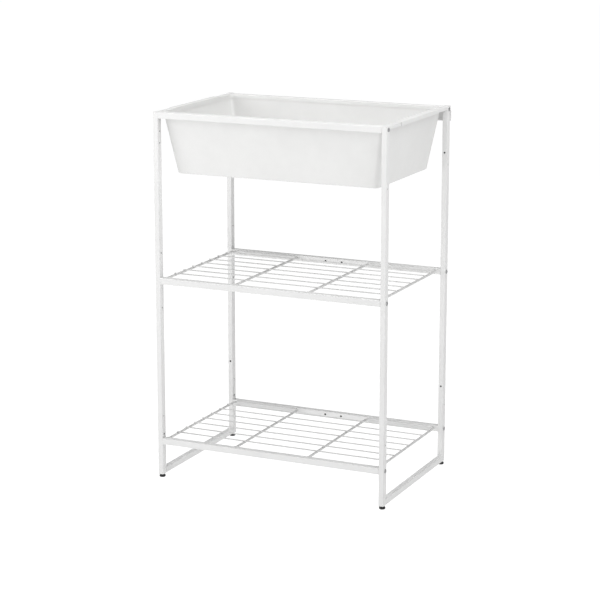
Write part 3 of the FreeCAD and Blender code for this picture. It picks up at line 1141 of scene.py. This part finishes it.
def make_foot_pad(name, node):
    """Moulded glide: rounded base with grip ribs, and a neck that meets the post."""
    low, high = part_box(node)
    middle = (low + high) / 2
    body = (high.x - low.x) / 2 - PAD_RIB
    edge, shoulder = PAD_EDGE, PAD_SHOULDER
    pad = add_disc(name, (middle.x, middle.y, low.z), (0, 0, -1), body - edge, 48)
    at = [body - edge]

    def ring(new_radius, rise):
        extrude(z=rise)
        factor = new_radius / at[0]
        grow(factor, factor, 1.0, (middle.x, middle.y, low.z))
        at[0] = new_radius

    with editing(pad):
        bpy.ops.mesh.select_all(action="SELECT")
        ring(body - edge * 0.5, edge * 0.13)
        ring(body - edge * 0.13, edge * 0.37)
        ring(body, edge * 0.5)
        ring(body, shoulder - 2 * edge)
        ring(body - edge * 0.13, edge * 0.5)
        ring(body - edge * 0.5, edge * 0.37)
        ring(body - edge, edge * 0.13)
        ring(PAD_NECK + 0.0002, 0.0)
        ring(PAD_NECK, 0.0003)
        ring(PAD_NECK - 0.0001, high.z - shoulder - 0.0003)
    outward_normals(pad)

    def is_rib(centre, normal):
        angle = math.degrees(math.atan2(centre.y - middle.y, centre.x - middle.x))
        return (abs(normal.z) < 0.1 and low.z + edge < centre.z < shoulder - edge
                and round(angle / PAD_RIB_ANGLE - 0.5) % 2 == 0)

    with editing(pad):
        select_faces(pad, is_rib)
        bpy.ops.mesh.inset(thickness=0.00018, depth=PAD_RIB, use_individual=True)
        select_faces(pad, lambda centre, normal: normal.z < -0.99 and centre.z < low.z + TOUCH)
        inset(0.0012)
        inset(0.0004, -0.0005)
    return pad


def make_thread(name, node):
    """Core rod with a helical ridge from the pad to the stud's tip."""
    low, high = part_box(node)
    middle = (low + high) / 2
    root = (high.x - low.x) / 2 - THREAD_DEPTH
    core = add_rod(name, (middle.x, middle.y, low.z), (middle.x, middle.y, high.z), root, 24)
    with editing(core):
        select_edges(core, lambda a, b: min(a.z, b.z) > high.z - TOUCH)
        bevel(0.0005, 2)
    ridge_foot = (root - 0.00005, 0.0, 0.0)
    ridge = add_disc("ridge", ridge_foot, (0, -1, 0), THREAD_RIDGE, 4)
    with editing(ridge):
        bpy.ops.mesh.select_all(action="SELECT")
        bpy.ops.mesh.delete(type="ONLY_FACE")
        bpy.ops.mesh.select_all(action="SELECT")
        grow(1.5, 1.0, 1.0, ridge_foot)
    change = ridge.modifiers.new("thread", "SCREW")
    change.axis = "Z"
    change.steps = 20
    change.render_steps = 20
    change.screw_offset = THREAD_PITCH
    change.iterations = int((high.z - low.z - 2 * THREAD_PITCH) / THREAD_PITCH)
    change.use_merge_vertices = True
    change.merge_threshold = 0.000001
    make_active(ridge)
    bpy.ops.object.modifier_apply(modifier=change.name)
    with editing(ridge):
        bpy.ops.mesh.select_all(action="SELECT")
        bpy.ops.mesh.fill_holes(sides=4)
    ridge.data.transform(Matrix.Translation((middle.x, middle.y, low.z + THREAD_PITCH)))
    outward_normals(ridge)
    return join(name, [core, ridge])


class PLANTER_OT_feet(Operator):
    """Model the four levelling feet, each a moulded pad on a threaded stud"""

    bl_idname = "planter.feet"
    bl_label = "Levelling feet"

    def execute(self, context):
        for row in ROWS:
            for side in SIDES:
                foot = f"{row}_{side}_foot"
                pad = make_foot_pad(f"{foot}_moulding", f"{foot}_pad")
                smooth(pad, 40.0)
                deliver(pad, foot, "black_foot_plastic", foot_plastic(context), f"{foot}_pad")
                stud = make_thread(f"{foot}_threaded_stud", f"{foot}_stud")
                smooth(stud, 50.0)
                deliver(stud, foot, "stud_steel", zinc(context), f"{foot}_stud")
        return {"FINISHED"}


class PLANTER_OT_nut_blocks(Operator):
    """Plate the threaded blocks inside the rails and posts, whose CAD shape is kept"""

    bl_idname = "planter.nut_blocks"
    bl_label = "Nut blocks"

    def execute(self, context):
        for name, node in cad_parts.items():
            if name.endswith("nut_blocks"):
                node.data.materials.clear()
                node.data.materials.append(zinc(context))
        return {"FINISHED"}


# ---------------------------------------------------------------- stage

FLOOR_RADIUS = 60.0
FLOOR_GREY = (0.16, 0.16, 0.16, 1.0)    # paint under the floor's own glow
SOFTBOX_DISTANCE = 3.0
SOFTBOX_WIDTH = 2.0
WHITE = (1.0, 1.0, 1.0, 1.0)


def direction(azimuth, elevation):
    """Unit vector away from the planter: azimuth 0 is to the front and 90 degrees to the right."""
    return Vector((math.sin(azimuth) * math.cos(elevation),
                   -math.cos(azimuth) * math.cos(elevation), math.sin(elevation)))


def facing(back):
    """Rotation of a lamp or camera that stands towards back and looks at the planter."""
    return (-back).to_track_quat("-Z", "Y").to_euler()


class PLANTER_OT_stage(Operator):
    """Lay the white floor, hang the soft lights and set the camera"""

    bl_idname = "planter.stage"
    bl_label = "Studio"

    def execute(self, context):
        studio = context.scene.planter_studio
        low, high = CAD_BOX
        middle = (low + high) / 2
        self.lay_floor(studio, low.z)
        self.light_sky(context, studio)
        for name, azimuth, elevation, power in (
                ("left_softbox", -42, 20, studio.left_light),
                ("top_softbox", 0, 90, studio.top_light),
                ("right_softbox", 60, 45, studio.right_light)):
            self.hang_softbox(name, middle, math.radians(azimuth), math.radians(elevation), power)
        self.set_camera(context, studio, middle)
        context.scene.view_settings.view_transform = "Standard"
        return {"FINISHED"}

    def lay_floor(self, studio, height):
        deselect_all()
        bpy.ops.mesh.primitive_circle_add(vertices=96, radius=FLOOR_RADIUS, fill_type="NGON",
                                          location=(0.0, 0.0, height))
        floor = settle("studio_floor")
        recipe = Recipe("white_studio_floor")
        recipe.finish(base_color=FLOOR_GREY, roughness=0.9, emission_color=WHITE,
                      emission_strength=studio.floor_glow)
        floor.data.materials.append(recipe.material)

    def light_sky(self, context, studio):
        """Dim, even light from all round, behind a backdrop that looks white."""
        sky = bpy.data.worlds.new("studio_sky")
        sky.use_nodes = True
        nodes, links = sky.node_tree.nodes, sky.node_tree.links
        dim = nodes["Background"]
        white, mix, path = (nodes.new(f"ShaderNode{kind}")
                            for kind in ("Background", "MixShader", "LightPath"))
        for shader, strength in ((dim, studio.sky), (white, 1.0)):
            shader.inputs["Color"].default_value = WHITE
            shader.inputs["Strength"].default_value = strength
        links.new(path.outputs["Is Camera Ray"], mix.inputs[0])
        links.new(dim.outputs[0], mix.inputs[1])
        links.new(white.outputs[0], mix.inputs[2])
        links.new(mix.outputs[0], nodes["World Output"].inputs["Surface"])
        context.scene.world = sky

    def hang_softbox(self, name, middle, azimuth, elevation, power):
        deselect_all()
        away = direction(azimuth, elevation)
        bpy.ops.object.light_add(type="AREA", location=middle + away * SOFTBOX_DISTANCE,
                                 rotation=facing(away))
        softbox = bpy.context.object
        softbox.name = name
        softbox.data.shape = "SQUARE"
        softbox.data.size = SOFTBOX_WIDTH
        softbox.data.energy = power

    def set_camera(self, context, studio, middle):
        back = direction(studio.azimuth, studio.elevation)
        deselect_all()
        bpy.ops.object.camera_add(location=middle + Vector(studio.aim) + back * studio.distance,
                                  rotation=facing(back))
        camera = bpy.context.object
        camera.name = "studio_camera"
        camera.data.lens = studio.lens
        camera.data.clip_end = 200.0
        context.scene.camera = camera


# ---------------------------------------------------------------- panel and running order

PIECES = (
    PLANTER_OT_posts, PLANTER_OT_post_caps, PLANTER_OT_rails, PLANTER_OT_crossbars,
    PLANTER_OT_shelf_rods, PLANTER_OT_cross_wires, PLANTER_OT_weld_spots, PLANTER_OT_frame_welds,
    PLANTER_OT_tub, PLANTER_OT_rail_screws, PLANTER_OT_corner_plates, PLANTER_OT_feet,
    PLANTER_OT_nut_blocks, PLANTER_OT_stage)
GROUPS = (("planter_sizes", PlanterSizes), ("planter_colours", PlanterColours),
          ("planter_studio", PlanterStudio))


class PLANTER_PT_pieces(Panel):
    """Sizes, colours and a button for each group of pieces"""

    bl_label = "Planter"
    bl_idname = "PLANTER_PT_pieces"
    bl_space_type = "VIEW_3D"
    bl_region_type = "UI"
    bl_category = "Planter"

    def draw(self, context):
        for piece in PIECES:
            self.layout.operator(piece.bl_idname)
        for name, group in GROUPS:
            column = self.layout.column()
            column.label(text=group.__doc__)
            for setting in group.__annotations__:
                column.prop(getattr(context.scene, name), setting)


def register():
    for name, group in GROUPS:
        bpy.utils.register_class(group)
        setattr(bpy.types.Scene, name, PointerProperty(type=group))
    for piece in PIECES:
        bpy.utils.register_class(piece)
    bpy.utils.register_class(PLANTER_PT_pieces)


def unregister():
    bpy.utils.unregister_class(PLANTER_PT_pieces)
    for piece in reversed(PIECES):
        bpy.utils.unregister_class(piece)
    for name, group in reversed(GROUPS):
        delattr(bpy.types.Scene, name)
        bpy.utils.unregister_class(group)


def main():
    register()
    bpy.ops.planter.posts()
    bpy.ops.planter.post_caps()
    bpy.ops.planter.rails()
    bpy.ops.planter.crossbars()
    bpy.ops.planter.shelf_rods()
    bpy.ops.planter.cross_wires()
    bpy.ops.planter.weld_spots()
    bpy.ops.planter.frame_welds()
    bpy.ops.planter.tub()
    bpy.ops.planter.rail_screws()
    bpy.ops.planter.corner_plates()
    bpy.ops.planter.feet()
    bpy.ops.planter.nut_blocks()
    bpy.ops.planter.stage()


if __name__ == "__main__":
    main()
